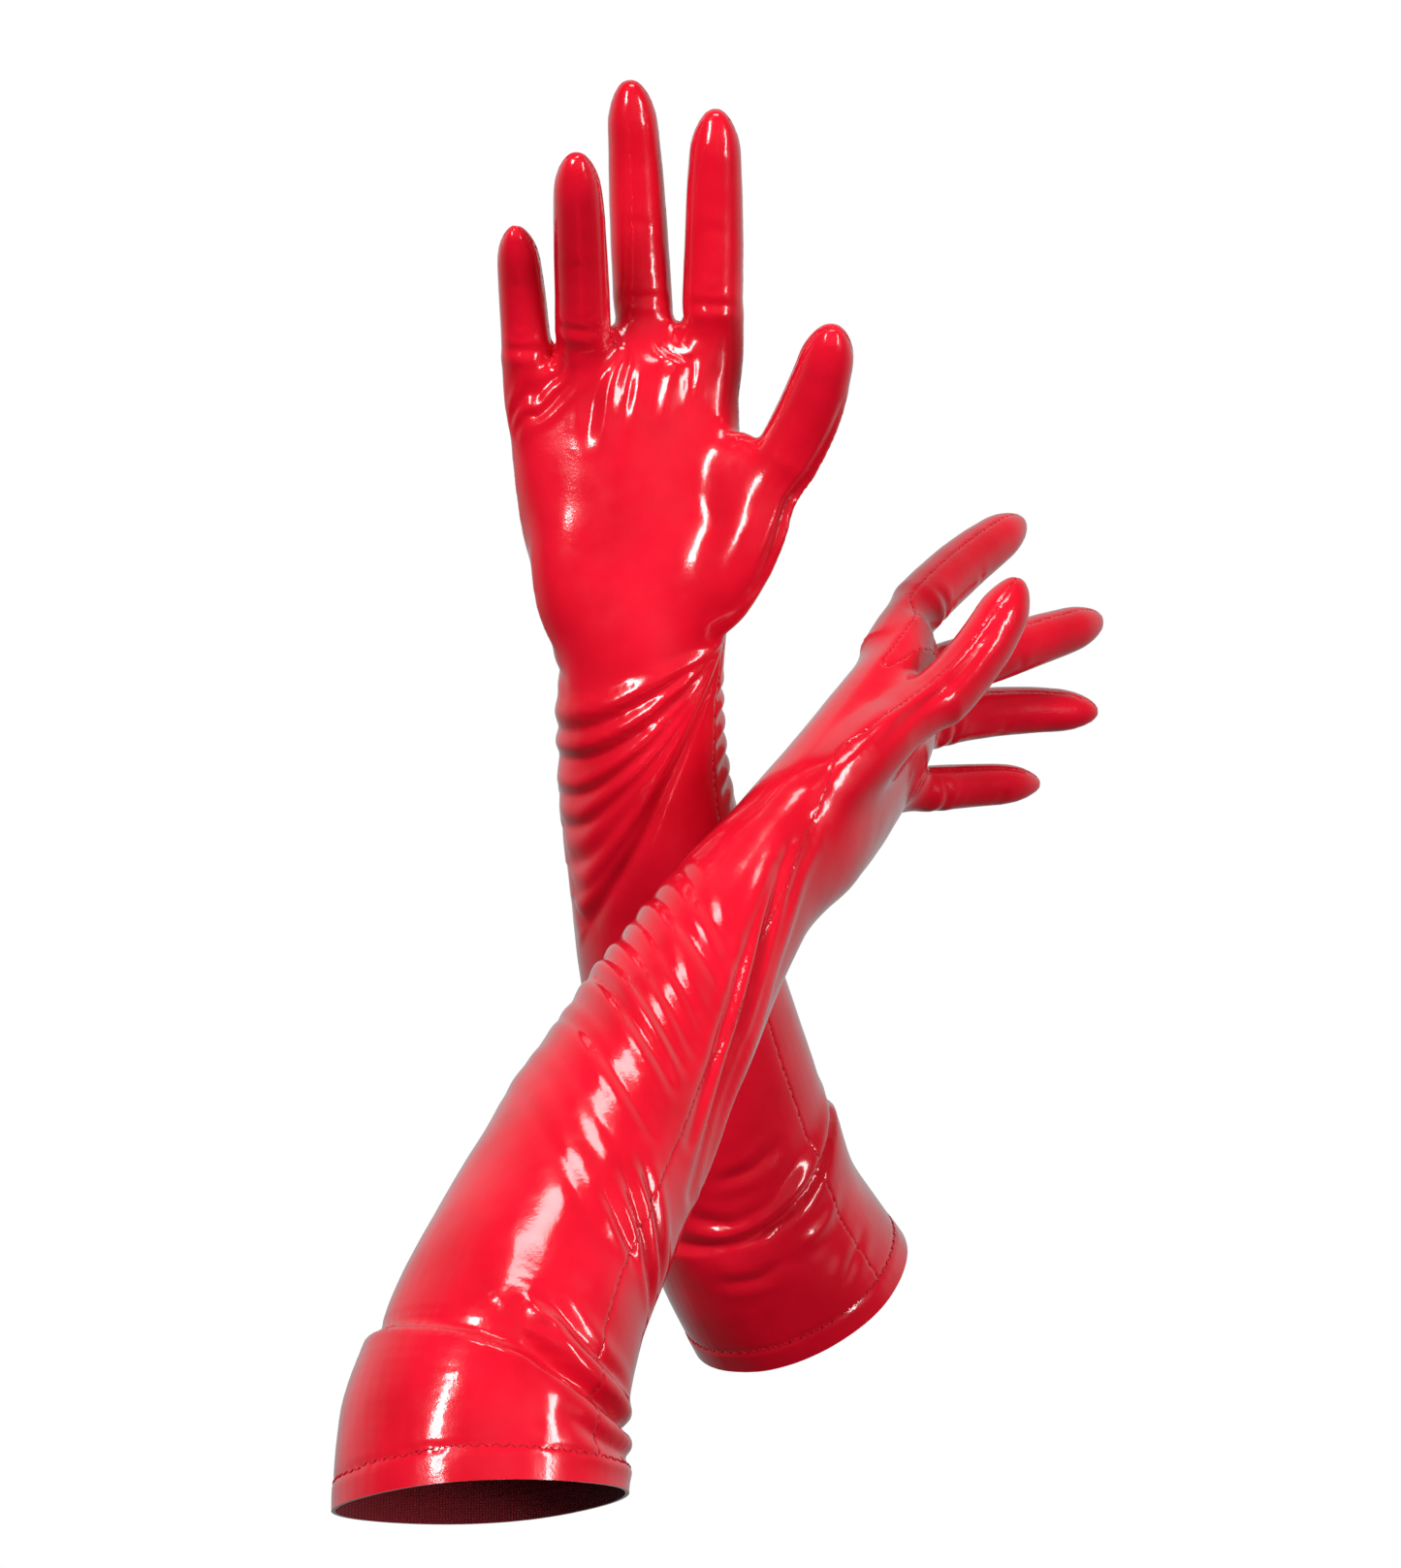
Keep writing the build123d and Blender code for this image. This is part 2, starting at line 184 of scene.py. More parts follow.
class Glove:
    """The places and directions of one glove, all read from the frame."""

    def __init__(self, name):
        self.name = name
        self.mirror = 1 if name == "right" else -1
        cuff = MOUNTS[f"{name}_cuff"]
        self.rim = np.array(cuff["pos_m"]) / MM
        self.cuff_way = -unit(np.array(cuff["axis"]))
        self.elbow = self.rim + self.cuff_way * ELBOW_REACH
        bend = JOINTS[f"{name}_wrist_bend"]
        self.wrist = np.array(bend["pos_m"]) / MM
        self.side = unit(np.array(bend["axis"])) * self.mirror
        self.along = self.seam_direction()
        self.back = np.cross(self.along, self.side) * self.mirror
        self.forearm_way = unit(self.wrist - self.elbow)
        self.hinges = {}
        self.hinge_at = {}
        self.tips = {}
        for stall in STALLS:
            self.hinges[stall] = np.array(JOINTS[f"{name}_{stall}_curl"]["pos_m"]) / MM
            points = node_points(f"{name}_{stall}_palm_panel")
            reach = ((points - self.hinges[stall]) ** 2).sum(axis=1)
            self.tips[stall] = points[reach.argmax()]
        self.spines = {stall: self.stall_spine(stall) for stall in STALLS}
        self.sleeve = self.sleeve_spine()

    def seam_direction(self):
        """The way the hand points: the two hand panels meet in a plane through the wrist's axis."""
        palm = {tuple(p) for p in np.round(node_points(f"{self.name}_hand_palm_panel"), 2)}
        back = {tuple(p) for p in np.round(node_points(f"{self.name}_hand_back_panel"), 2)}
        offsets = np.array(sorted(palm & back)) - self.wrist
        offsets -= np.outer(offsets @ self.side, self.side)
        offsets = offsets[np.linalg.norm(offsets, axis=1) > 30]
        return square(np.median(offsets, axis=0), self.side)

    def in_hand(self, place):
        return self.wrist + self.along * place[0] + self.side * place[1] + self.back * place[2]

    def on_stall(self, stall, distance):
        spine = self.spines[stall]
        return np.array([np.interp(distance, spine.distance, spine.points[:, k]) for k in range(3)])

    def stall_spine(self, stall):
        hinge, tip = self.hinges[stall], self.tips[stall]
        if stall == "thumb":
            root = self.in_hand((13, 19, -9) if self.mirror > 0 else (8, 20, -9))
            ring = node_points(f"{self.name}_thumb_root_ring")
        else:
            root = self.in_hand(KNUCKLES[stall])
            ring = node_points(f"{self.name}_{stall}_root_ring")
        way = self.ring_direction(ring, hinge, root)
        half, low, high = STALL_SHIFT[self.name].get(stall, (0.0, 0.0, 0.0))
        hinge, tip = hinge + self.side * low, tip + self.side * high
        tip = tip + unit(tip - hinge) * STALL_LONGER.get(stall, 0.8)
        chord = unit(tip - hinge)
        end_way = unit(2 * chord * np.dot(chord, way) - way)
        third = np.linalg.norm(tip - hinge) / 3
        outer = bezier((hinge, hinge + way * third, tip - end_way * third, tip), 60)
        knee = np.linalg.norm(hinge - root)
        inner = bezier((root, hinge - way * knee * 0.5 + self.side * half * 2, hinge), 24)
        return Spine(np.vstack([inner[:-1], outer]), self.side)

    @staticmethod
    def ring_direction(ring, hinge, root):
        """The line of a root ring: its end nearest the root, to its other end."""
        rough = unit(hinge - root)
        reach = (ring - hinge) @ rough
        ends = ring[reach > 1].mean(axis=0) - ring[reach < -1].mean(axis=0)
        return unit(ends)

    def sleeve_spine(self):
        bend_end = self.elbow + (self.wrist - self.elbow) * BEND_SHARE
        low = self.rim + self.cuff_way * 10.0
        hand = bezier((self.wrist - self.forearm_way * 16, self.wrist, self.wrist + self.along * 16), 16)
        parts = [
            np.linspace(self.rim - self.cuff_way * 14, low, 16)[:-1],
            bezier((low, self.elbow, bend_end), 24)[:-1],
            np.linspace(bend_end, hand[0], 80)[:-1],
            hand[:-1],
            np.linspace(hand[-1], self.in_hand((98, 0, 0)), 50),
        ]
        return Spine(np.vstack(parts), self.side)


def smooth_rows(keys, values, at, blur):
    """Values between keys, rounded off over a blur of that length."""
    wide = np.linspace(-blur, blur, 9)
    weights = np.cos(wide / blur * math.pi / 2.2)
    total = sum(w * np.interp(at + d, keys, values) for d, w in zip(wide, weights))
    return total / weights.sum()


def add_tube(mesh_parts, spine, distances, widths, thicks, shift=None, rise=None, around=56):
    """Adds a closed tube along a spine to a list of (vertices, faces)."""
    centers = np.stack([np.interp(distances, spine.distance, spine.points[:, k]) for k in range(3)], axis=1)
    sides = np.stack([np.interp(distances, spine.distance, spine.side[:, k]) for k in range(3)], axis=1)
    ups = np.stack([np.interp(distances, spine.distance, spine.up[:, k]) for k in range(3)], axis=1)
    if shift is not None:
        centers = centers + sides * shift[:, None] + ups * rise[:, None]
    angles = np.arange(around) * 2 * math.pi / around
    rings = centers[:, None, :] + (
        sides[:, None, :] * (np.cos(angles)[None, :, None] * widths[:, None, None] / 2)
        + ups[:, None, :] * (np.sin(angles)[None, :, None] * thicks[:, None, None] / 2)
    )
    count = len(distances)
    vertices = np.vstack([rings.reshape(-1, 3), centers[:1], centers[-1:]])
    faces = []
    for row in range(count - 1):
        for k in range(around):
            n = (k + 1) % around
            below, above = row * around, (row + 1) * around
            faces.append((below + k, below + n, above + n, above + k))
    first, last = count * around, count * around + 1
    for k in range(around):
        n = (k + 1) % around
        faces.append((n, k, first))
        faces.append(((count - 1) * around + k, (count - 1) * around + n, last))
    mesh_parts.append((vertices, faces))


def sleeve_rows(glove):
    """Distance along the sleeve's spine with the width, thickness and offsets of the oval there."""
    spine = glove.sleeve
    start, _, _ = spine.locate(np.array([glove.rim, glove.elbow, glove.wrist]))
    glove.rim_at, glove.elbow_at, glove.wrist_at = start
    bow_side, bow_back = FOREARM_BOW[glove.name]
    rows = []
    for reach, width, thick, shift, rise in CUFF_SHAPE[glove.name]:
        rows.append((glove.rim_at + reach, width, thick, shift, rise))
    for share, width, thick, bow in SLEEVE_SHAPE:
        place = glove.elbow_at + (glove.wrist_at - glove.elbow_at) * share
        rows.append((place, width, thick, bow * bow_side, bow * bow_back))
    for distance, little_edge, thumb_edge, thick in PALM_SHAPE:
        middle = (thumb_edge + little_edge) / 2
        lift, extra = (ramp(distance, -12.0, 20.0) * part for part in PALM_SHIFT[glove.name])
        rows.append((glove.wrist_at + distance, thumb_edge - little_edge, thick + extra, middle, lift))
    rows = np.array(rows)
    at = np.arange(0.0, glove.wrist_at + PALM_SHAPE[-1][0], 2.0)
    return [at] + [smooth_rows(rows[:, 0], rows[:, k], at, SLEEVE_BLUR) for k in (1, 2, 3, 4)]


def sleeve_tube(glove, parts):
    """From below the rim over the elbow to the knuckles."""
    glove.rows = sleeve_rows(glove)
    at, widths, thicks, shifts, rises = glove.rows
    add_tube(parts, glove.sleeve, at, widths, thicks, shifts, rises * glove.mirror)


def stall_tube(glove, stall, parts):
    """One stall, rounded at the tip, with the start of it inside the hand."""
    spine = glove.spines[stall]
    hinge_at = spine.locate(glove.hinges[stall][None, :])[0][0]
    length = spine.length - hinge_at
    straight = np.arange(0.0, spine.length - TIP_ROUNDING, 1.5)
    at = np.concatenate([straight, spine.length - TIP_ROUNDING * np.cos(np.linspace(0, 1.5, 9))])
    share = (at - hinge_at) / length
    keys, values = zip(*STALL_SHAPE)
    width = smooth_rows(keys, values, share, 0.06) * STALL_WIDTH[stall]
    cap = np.clip((at - (spine.length - TIP_LENGTH)) / TIP_LENGTH, 0.0, 0.998)
    width = width * np.sqrt(1 - cap**2.2)
    thick = width * FLATNESS
    if stall == "thumb":
        rows = np.array(THENAR_SHAPE)
        ball = at < rows[-1, 0]
        width = np.where(ball, smooth_rows(rows[:, 0], rows[:, 1], at, 4.0), width)
        thick = np.where(ball, smooth_rows(rows[:, 0], rows[:, 2], at, 4.0), thick)
    add_tube(parts, spine, at, width, thick)
    glove.hinge_at[stall] = hinge_at


def add_pad(parts, center, axes, sizes):
    """Adds a closed egg shape; axes are its three unit directions."""
    turns = np.linspace(0, math.pi, 15)
    spine = Spine(center + np.outer(-np.cos(turns), axes[0]) * sizes[0] / 2, axes[1])
    ring = np.sin(turns).clip(0.02)
    add_tube(parts, spine, spine.distance, ring * sizes[1], ring * sizes[2])


def add_web(parts, first, second, way, sizes):
    """A pad between two places, as wide as the gap between them and a little more."""
    across = square(first - second, way)
    width = np.linalg.norm(first - second) + sizes[1]
    add_pad(parts, (first + second) / 2, (way, across, np.cross(way, across)), (sizes[0], width, sizes[2]))


def hand_pads(glove, parts):
    """The balls of the hand, and the webs between thumb and fingers."""
    axes = (glove.along, glove.side, glove.back)
    for place, sizes in PADS:
        add_pad(parts, glove.in_hand(place), axes, sizes)
    for first, first_at, second, second_at in WEBS:
        a = glove.on_stall(first, first_at - WEB_DEPTH)
        b = glove.on_stall(second, second_at - WEB_DEPTH)
        way = unit(glove.on_stall(first, first_at) - a + glove.on_stall(second, second_at) - b)
        add_web(parts, a, b, way, WEB_PAD)
    thumb = glove.on_stall("thumb", THUMB_WEB[0])
    palm = glove.in_hand(THUMB_WEB[1])
    add_web(parts, thumb, palm, square(glove.along, unit(thumb - palm)), THUMB_WEB_PAD)


def make_mesh(name, vertices, faces):
    mesh = bpy.data.meshes.new(name)
    mesh.from_pydata([tuple(v) for v in vertices * MM], [], faces)
    mesh.update()
    return mesh


def join_parts(name, parts):
    """One mesh of many (vertices, faces)."""
    vertices, faces, offset = [], [], 0
    for part_vertices, part_faces in parts:
        vertices.append(part_vertices)
        faces += [tuple(i + offset for i in face) for face in part_faces]
        offset += len(part_vertices)
    return make_mesh(name, np.vstack(vertices), faces)


def fuse(name, parts):
    """Joins closed tubes into one smooth skin."""
    body = bpy.data.objects.new(name, join_parts(name, parts))
    bpy.context.scene.collection.objects.link(body)
    remesh = body.modifiers.new("remesh", "REMESH")
    remesh.mode = "VOXEL"
    remesh.voxel_size = VOXEL * MM
    graph = bpy.context.evaluated_depsgraph_get()
    mesh = bpy.data.meshes.new_from_object(body.evaluated_get(graph))
    bpy.data.objects.remove(body)
    return mesh


def mesh_arrays(mesh):
    points = np.empty(len(mesh.vertices) * 3)
    mesh.vertices.foreach_get("co", points)
    edges = np.empty(len(mesh.edges) * 2, int)
    mesh.edges.foreach_get("vertices", edges)
    return points.reshape(-1, 3) / MM, edges.reshape(-1, 2)


def neighbour_means(points, edges, degree):
    """For each point, the middle of the points that its edges lead to."""
    means = np.empty_like(points)
    for k in range(3):
        total = np.bincount(edges[:, 0], points[edges[:, 1], k], len(points))
        total += np.bincount(edges[:, 1], points[edges[:, 0], k], len(points))
        means[:, k] = total / degree
    return means


def degrees_of(points, edges):
    return np.maximum(np.bincount(edges.ravel(), minlength=len(points)), 1)


def relax(points, edges, rounds, strength=0.55, back=-0.57):
    """Evens out a surface without shrinking it."""
    degree = degrees_of(points, edges)
    for step in range(rounds * 2):
        factor = strength if step % 2 == 0 else back
        points = points + (neighbour_means(points, edges, degree) - points) * factor
    return points


def normals_of(mesh, points):
    mesh.vertices.foreach_set("co", (points * MM).ravel())
    mesh.update()
    normals = np.empty(len(mesh.vertices) * 3)
    mesh.vertex_normals.foreach_get("vector", normals)
    return normals.reshape(-1, 3)


class Skin:
    """One glove's surface: places, outward directions, and where each point is on the glove.

    reach is the distance from the rim along the sleeve, and turn the angle round it in degrees:
    0 at the thumb side, 90 at the back, 180 at the little finger and 270 at the palm.
    """

    def __init__(self, glove):
        parts = []
        sleeve_tube(glove, parts)
        for stall in STALLS:
            stall_tube(glove, stall, parts)
        hand_pads(glove, parts)
        self.glove = glove
        self.mesh = fuse(f"{glove.name}_skin", parts)
        points, self.edges = mesh_arrays(self.mesh)
        self.points = relax(points, self.edges, 8)
        self.normals = normals_of(self.mesh, self.points)
        self.faces = [tuple(polygon.vertices) for polygon in self.mesh.polygons]
        self.measure()

    def measure(self):
        glove = self.glove
        along, lateral, height = glove.sleeve.locate(self.points)
        at, widths, thicks, shifts, rises = glove.rows
        lateral = lateral - np.interp(along, at, shifts)
        height = height * glove.mirror - np.interp(along, at, rises)
        self.reach = along - glove.rim_at
        side_share = lateral / np.interp(along, at, widths)
        back_share = height / np.interp(along, at, thicks)
        self.turn = np.degrees(np.arctan2(back_share, side_share)) % 360
        self.stall_turn = np.zeros(len(self.points))
        self.stall_reach = np.full(len(self.points), -99.0)
        self.stall_height = np.zeros(len(self.points))
        self.stall_number = np.zeros(len(self.points), int)
        closest = np.full(len(self.points), 1e9)
        for number, stall in enumerate(STALLS):
            spine = glove.spines[stall]
            along, lateral, height = spine.locate(self.points)
            height = height * glove.mirror
            off = np.hypot(lateral, height) / STALL_WIDTH[stall]
            beyond = along - glove.hinge_at[stall]
            mine = (off < STALL_REACH) & (off < closest) & (beyond > -30.0)
            closest[mine] = off[mine]
            self.stall_number[mine] = number
            self.stall_reach[mine] = beyond[mine]
            self.stall_height[mine] = height[mine]
            self.stall_turn[mine] = np.degrees(np.arctan2(height[mine], lateral[mine])) % 360

    def seam_turn(self):
        """The angle of the thumb-side seam round the sleeve; it comes to 0 where the hand starts."""
        rows = np.array(SEAM_TURN[self.glove.name])
        return smooth_rows(rows[:, 0], rows[:, 1], self.reach, 12.0)

    def rim_line(self):
        """Distance of the rim at each point's angle, for a cuff that is tilted and a little wavy."""
        low, thumb, back = RIM_TILT[self.glove.name]
        angle = np.radians(self.turn)
        return low + thumb * np.cos(angle) + back * np.sin(angle) + 0.35 * np.sin(3 * angle + 1.0)

    def push(self, amount):
        """Moves every point outward by its own amount."""
        self.points = self.points + self.normals * amount[:, None]
        self.normals = normals_of(self.mesh, self.points)


def smooth_line(path, count=40):
    """A rounded line through the listed points of a fold."""
    path = np.array(path, float)
    t = np.linspace(0, len(path) - 1, count)
    line = np.stack([np.interp(t, range(len(path)), path[:, k]) for k in range(2)], axis=1)
    for _ in range(8):
        line[1:-1] = (line[:-2] + line[1:-1] * 2 + line[2:]) / 4
    return line


def line_distance(x, y, line):
    """Signed distance of points from a line, and how far along it each is, from 0 to 1."""
    best = np.full(len(x), 1e9)
    sign = np.ones(len(x))
    share = np.zeros(len(x))
    for number in range(len(line) - 1):
        a, b = line[number], line[number + 1]
        step = b - a
        size = max(np.dot(step, step), 1e-9)
        t = np.clip(((x - a[0]) * step[0] + (y - a[1]) * step[1]) / size, 0, 1)
        dx, dy = x - a[0] - t * step[0], y - a[1] - t * step[1]
        gap = np.hypot(dx, dy)
        near = gap < best
        best[near] = gap[near]
        sign[near] = np.sign(step[0] * dy - step[1] * dx)[near]
        share[near] = ((number + t) / (len(line) - 1))[near]
    return best * sign, share


def fold_profile(kind, gap, width):
    """Height of a fold at a signed distance from its line, from -1 to 1."""
    if kind in ("crease", "rib"):
        valley = -np.exp(-((np.abs(gap) / width) ** 1.6))
        shoulder = 0.55 * np.exp(-(((np.abs(gap) - 2.3 * width) / (1.4 * width)) ** 2))
        return valley + shoulder
    if kind in ("lap", "fan"):
        valley = -0.8 * np.exp(-((np.abs(gap) / width) ** 1.5))
        roll = 1.0 * np.exp(-(((gap - 2.0 * width) / (1.5 * width)) ** 2))
        return valley + roll
    ridge = np.exp(-((gap / width) ** 2))
    return ridge - 0.3 * np.exp(-(((np.abs(gap) - 2.4 * width) / width) ** 2))


def add_folds(reach, turn, arc, folds, where):
    """Total height of a list of folds; arc is how many millimetres one degree of turn is."""
    total = np.zeros(len(reach))
    for kind, path, height, width in folds:
        line = smooth_line(path)
        middle = (line[:, 1].min() + line[:, 1].max()) / 2
        unrolled = (turn - middle + 180) % 360 - 180 + middle
        low, high = line[:, 0].min() - 6 * width, line[:, 0].max() + 6 * width
        spread = 6 * width / arc
        near = where & (reach > low) & (reach < high)
        near &= (unrolled > line[:, 1].min() - spread) & (unrolled < line[:, 1].max() + spread)
        scaled = line * np.array([1.0, arc])
        gap, share = line_distance(reach[near], unrolled[near] * arc, scaled)
        fade = np.sin(np.pi * np.clip(share * 0.96 + 0.02, 0, 1)) ** 0.55
        local = width
        if kind == "rib":
            fade *= 0.55 + 0.45 * ramp(share, 0.05, 0.4)
        if kind == "fan":
            local = width * (0.45 + 0.9 * share)
            fade *= 0.35 + 0.65 * share
        total[near] += height * fade * fold_profile(kind, gap, local)
    return total


def accordion():
    """The ribs that the crossed arm gathers up between its elbow and its wrist."""
    spread = np.random.default_rng(5)
    folds = []
    for number in range(11):
        start = 214 - 9.5 * number + spread.uniform(-2.6, 2.6)
        drop = 28 + 1.4 * number + spread.uniform(-4, 4)
        depth = 1.2 * math.sin(math.pi * min(0.12 + number / 10, 0.93)) ** 0.6
        path = (
            (start + 3, 84),
            (start, 58),
            (start - drop * 0.30, 25),
            (start - drop * 0.72, -8),
            (start - drop * 1.05, -36),
        )
        folds.append(("rib", path, depth * spread.uniform(0.6, 1.15), spread.uniform(1.7, 3.0)))
    return folds


def wrist_fan():
    """The folds that fan out from the base of the right thumb across the wrist."""
    folds = [
        ("crease", ((240, 206), (241, 180), (240, 150)), 0.7, 1.8),
        ("ridge", ((243, 322), (237, 300), (233, 280)), 0.6, 1.4),
    ]
    spread = np.random.default_rng(8)
    for number in range(7):
        low = 229 - 10.5 * number + spread.uniform(-2.2, 2.2)
        last = 172 + 8 * number
        path = (
            (249 - 1.6 * number, 350 - 1.5 * number),
            (242 - 4.0 * number, 318 - 2.0 * number),
            (235 - 7.2 * number, 282 - 2.0 * number),
            (low, 240 - 2.0 * number),
            (low - 5, last),
        )
        height = 2.3 * spread.uniform(0.7, 1.15)
        folds.append(("fan", path, height, 2.2 * spread.uniform(0.75, 1.2)))
    return folds


def side_puckers():
    """Short gathers beside the right sleeve's seam."""
    folds = []
    for at, lean in ((229, 9), (221, 8), (213, 10), (205, 9), (197, 8)):
        folds.append(("crease", ((at - 1, 342), (at, 362), (at + lean * 0.2, 386)), 1.0, 1.5))
    return folds


SLEEVE_FOLDS = {
    "left": [
        ("crease", ((231, 330), (212, 317), (186, 303), (160, 295), (138, 287), (112, 280)), 2.3, 2.2),
        ("lap", ((236, 318), (208, 303), (180, 291), (150, 283), (120, 272)), 1.7, 2.0),
        ("crease", ((222, 330), (200, 322), (176, 314), (150, 306), (122, 300)), 1.2, 1.7),
        ("ridge", ((214, 306), (190, 296), (168, 290)), 0.8, 1.6),
        ("crease", ((104, 322), (96, 306), (88, 290), (82, 268)), 1.3, 1.8),
        ("crease", ((98, 330), (88, 310), (79, 290), (74, 268)), 1.4, 1.8),
        ("crease", ((88, 334), (82, 318), (76, 302)), 0.9, 1.5),
        ("lap", ((44, 352), (36, 332), (30, 308), (27, 280), (28, 250)), 2.6, 3.0),
        ("crease", ((52, 340), (46, 322), (42, 304), (40, 280)), 1.2, 2.0),
        ("crease", ((24, 322), (19, 302), (17, 276), (18, 250)), 1.5, 2.2),
        ("ridge", ((50, 350), (47, 342), (46, 334)), 0.8, 1.2),
        ("ridge", ((44, 346), (42, 339), (41, 331)), 0.7, 1.1),
    ],
    "right": [
        ("lap", ((72, 370), (66, 345), (58, 320), (52, 292), (48, 266), (50, 236)), 2.4, 2.8),
        ("crease", ((68, 312), (60, 292), (57, 270), (60, 250)), 1.2, 2.0),
        ("crease", ((79, 306), (74, 288), (72, 268)), 0.9, 1.9),
        ("ridge", ((50, 332), (44, 318), (42, 300)), 0.9, 2.2),
        ("crease", ((40, 290), (37, 275), (38, 255)), 0.8, 1.8),
        ("crease", ((30, 338), (26, 322), (22, 312)), 0.6, 1.8),
        ("crease", ((316, 202), (324, 226), (335, 244)), 1.0, 1.2),
        ("crease", ((313, 205), (321, 230), (333, 251)), 0.9, 1.2),
        ("crease", ((312, 253), (326, 257), (341, 262)), 0.8, 1.8),
        ("ridge", ((311, 260), (324, 263), (340, 266)), 0.9, 1.9),
        ("crease", ((318, 272), (330, 272), (342, 270)), 0.7, 1.5),
        ("ridge", ((316, 291), (326, 294), (340, 300)), 0.9, 2.0),
        ("crease", ((320, 305), (330, 307), (342, 309)), 0.6, 1.4),
    ],
}
CUFF_LEDGE = {  # where the cuff's edge lies under the elbow fold, as (turn, reach) points
    "left": ((-75, 26), (-50, 31), (-15, 37), (10, 39), (45, 40), (90, 41), (130, 38), (285, 26)),
    "right": ((-75, 50), (-40, 58), (-12, 67), (10, 71), (40, 66), (90, 55), (180, 48), (285, 50)),
}
LEDGE_SIZE = {"left": (2.6, 26.0), "right": (2.2, 24.0)}  # its height and how far it carries down
SEAM_TURN = {
    "left": ((0, -52), (180, -54), (215, -48), (238, -36), (262, -10), (285, 0), (400, 0)),
    "right": ((0, -30), (100, -34), (170, -34), (215, -24), (240, -14), (262, 0), (400, 0)),
}
RIM_TILT = {"left": (3.0, 4.0, -2.5), "right": (4.0, 1.0, 0.0)}
STALL_CUT = -7.0
SEAM_GROOVE = 0.32
STALL_FOLDS = (
    ("crease", ((0, 215), (1.5, 250), (1, 290), (-1, 330)), 0.5, 1.6),
    ("crease", ((6.5, 235), (5.0, 265), (6, 300)), 0.2, 1.2),
    ("crease", ((24, 245), (25.5, 270), (24, 296)), 0.16, 1.5),
    ("crease", ((26.5, 60), (27.5, 92), (26, 124)), 0.2, 1.3),
    ("ridge", ((8, 118), (26, 112), (50, 116)), 0.22, 1.6),
)
THUMB_FOLDS = {
    "left": (
        ("crease", ((-26, 325), (-8, 332), (12, 336), (34, 338)), 0.5, 1.5),
        ("ridge", ((-24, 346), (-4, 350), (18, 352), (38, 354)), 0.5, 1.5),
    ),
    "right": (
        ("crease", ((-28, 322), (-10, 326), (10, 330), (32, 334)), 0.75, 1.4),
        ("ridge", ((-28, 338), (-8, 342), (12, 346), (34, 348)), 0.7, 1.4),
        ("crease", ((-24, 354), (-6, 357), (14, 361), (32, 363)), 0.55, 1.3),
    ),
}


def ledge_height(skin):
    """The cuff standing proud below the fold at the elbow."""
    turns, reaches = zip(*CUFF_LEDGE[skin.glove.name])
    height, carry = LEDGE_SIZE[skin.glove.name]
    turn = (skin.turn + 75) % 360 - 75
    below = np.interp(turn, turns, reaches) - skin.reach
    edge = height * ramp(below, -1.2, 1.6) * np.exp(-np.clip(below, 0, None) / carry)
    groove = 0.9 * np.exp(-((np.abs(below + 2.0) / 2.2) ** 1.5))
    return edge - groove


def gentle_noise(skin, scale, seed):
    offset = Vector((seed, seed * 0.7, -seed * 1.3))
    return np.array([noise.noise(Vector(p) / scale + offset) for p in skin.points])


def calm_palm(skin):
    """Spreads the balls of the hand and the webs into one another on the palm and the back."""
    facing = np.abs(skin.normals @ skin.glove.back)
    weight = ramp(facing, 0.2, 0.65) * ramp(skin.reach, HAND_START, HAND_START + 20.0)
    beyond = skin.stall_reach - np.where(skin.stall_number == 0, THUMB_CALM, 0.0)
    weight *= 1 - ramp(beyond, -9.0, -2.0)
    webs = ramp(skin.reach, HAND_START + 6.0, HAND_START + 20.0) * (1 - ramp(beyond, -8.0, -3.0))
    weight[skin.reach > HAND_END] = 0.0
    webs[skin.reach > HAND_END] = 0.0
    points = skin.points
    degree = degrees_of(points, skin.edges)
    for step in range(CALM_ROUNDS):
        pull = np.maximum(weight, webs) if step < WEB_ROUNDS else weight
        moves = neighbour_means(points, skin.edges, degree) - points
        points = points + moves * (0.5 * pull[:, None])
    skin.points = points
    skin.normals = normals_of(skin.mesh, points)


def shape_folds(skin):
    """All folds of one glove, laid one group after another."""
    glove = skin.glove
    calm_palm(skin)
    on_sleeve = skin.stall_reach < -3
    folds = list(SLEEVE_FOLDS[glove.name])
    folds += accordion() if glove.name == "left" else wrist_fan() + side_puckers()
    amount = add_folds(skin.reach, skin.turn, SLEEVE_ARC, folds, on_sleeve)
    amount = np.clip(amount, -FOLD_LIMIT, FOLD_LIMIT) + ledge_height(skin)
    for number, stall in enumerate(STALLS):
        mine = skin.stall_number == number
        own = THUMB_FOLDS[glove.name] if stall == "thumb" else STALL_FOLDS
        arc = STALL_WIDTH[stall] * math.pi / 360
        amount += add_folds(skin.stall_reach, skin.stall_turn, arc, own, mine)
    slack = ramp(skin.reach, 300, 200)
    amount += gentle_noise(skin, 24.0, 3.0) * (0.25 + 0.35 * slack)
    amount += gentle_noise(skin, 8.0, 11.0) * 0.09
    hem_top = skin.reach - skin.rim_line() - HEM_HEIGHT
    amount += 0.3 * (1 - ramp(hem_top, -0.8, 0.4)) - 0.35 * np.exp(-((hem_top / 0.9) ** 2))
    skin.push(amount)
    skin.points = relax(skin.points, skin.edges, 1)
    skin.normals = normals_of(skin.mesh, skin.points)


# Columns of the table that is cut into panels: 3 of place, 3 of direction, 5 of fields and a stall's number
RIM, HEM_LINE, ROOT, ARM_SEAM, STALL_SEAM, NUMBER = range(6, 12)


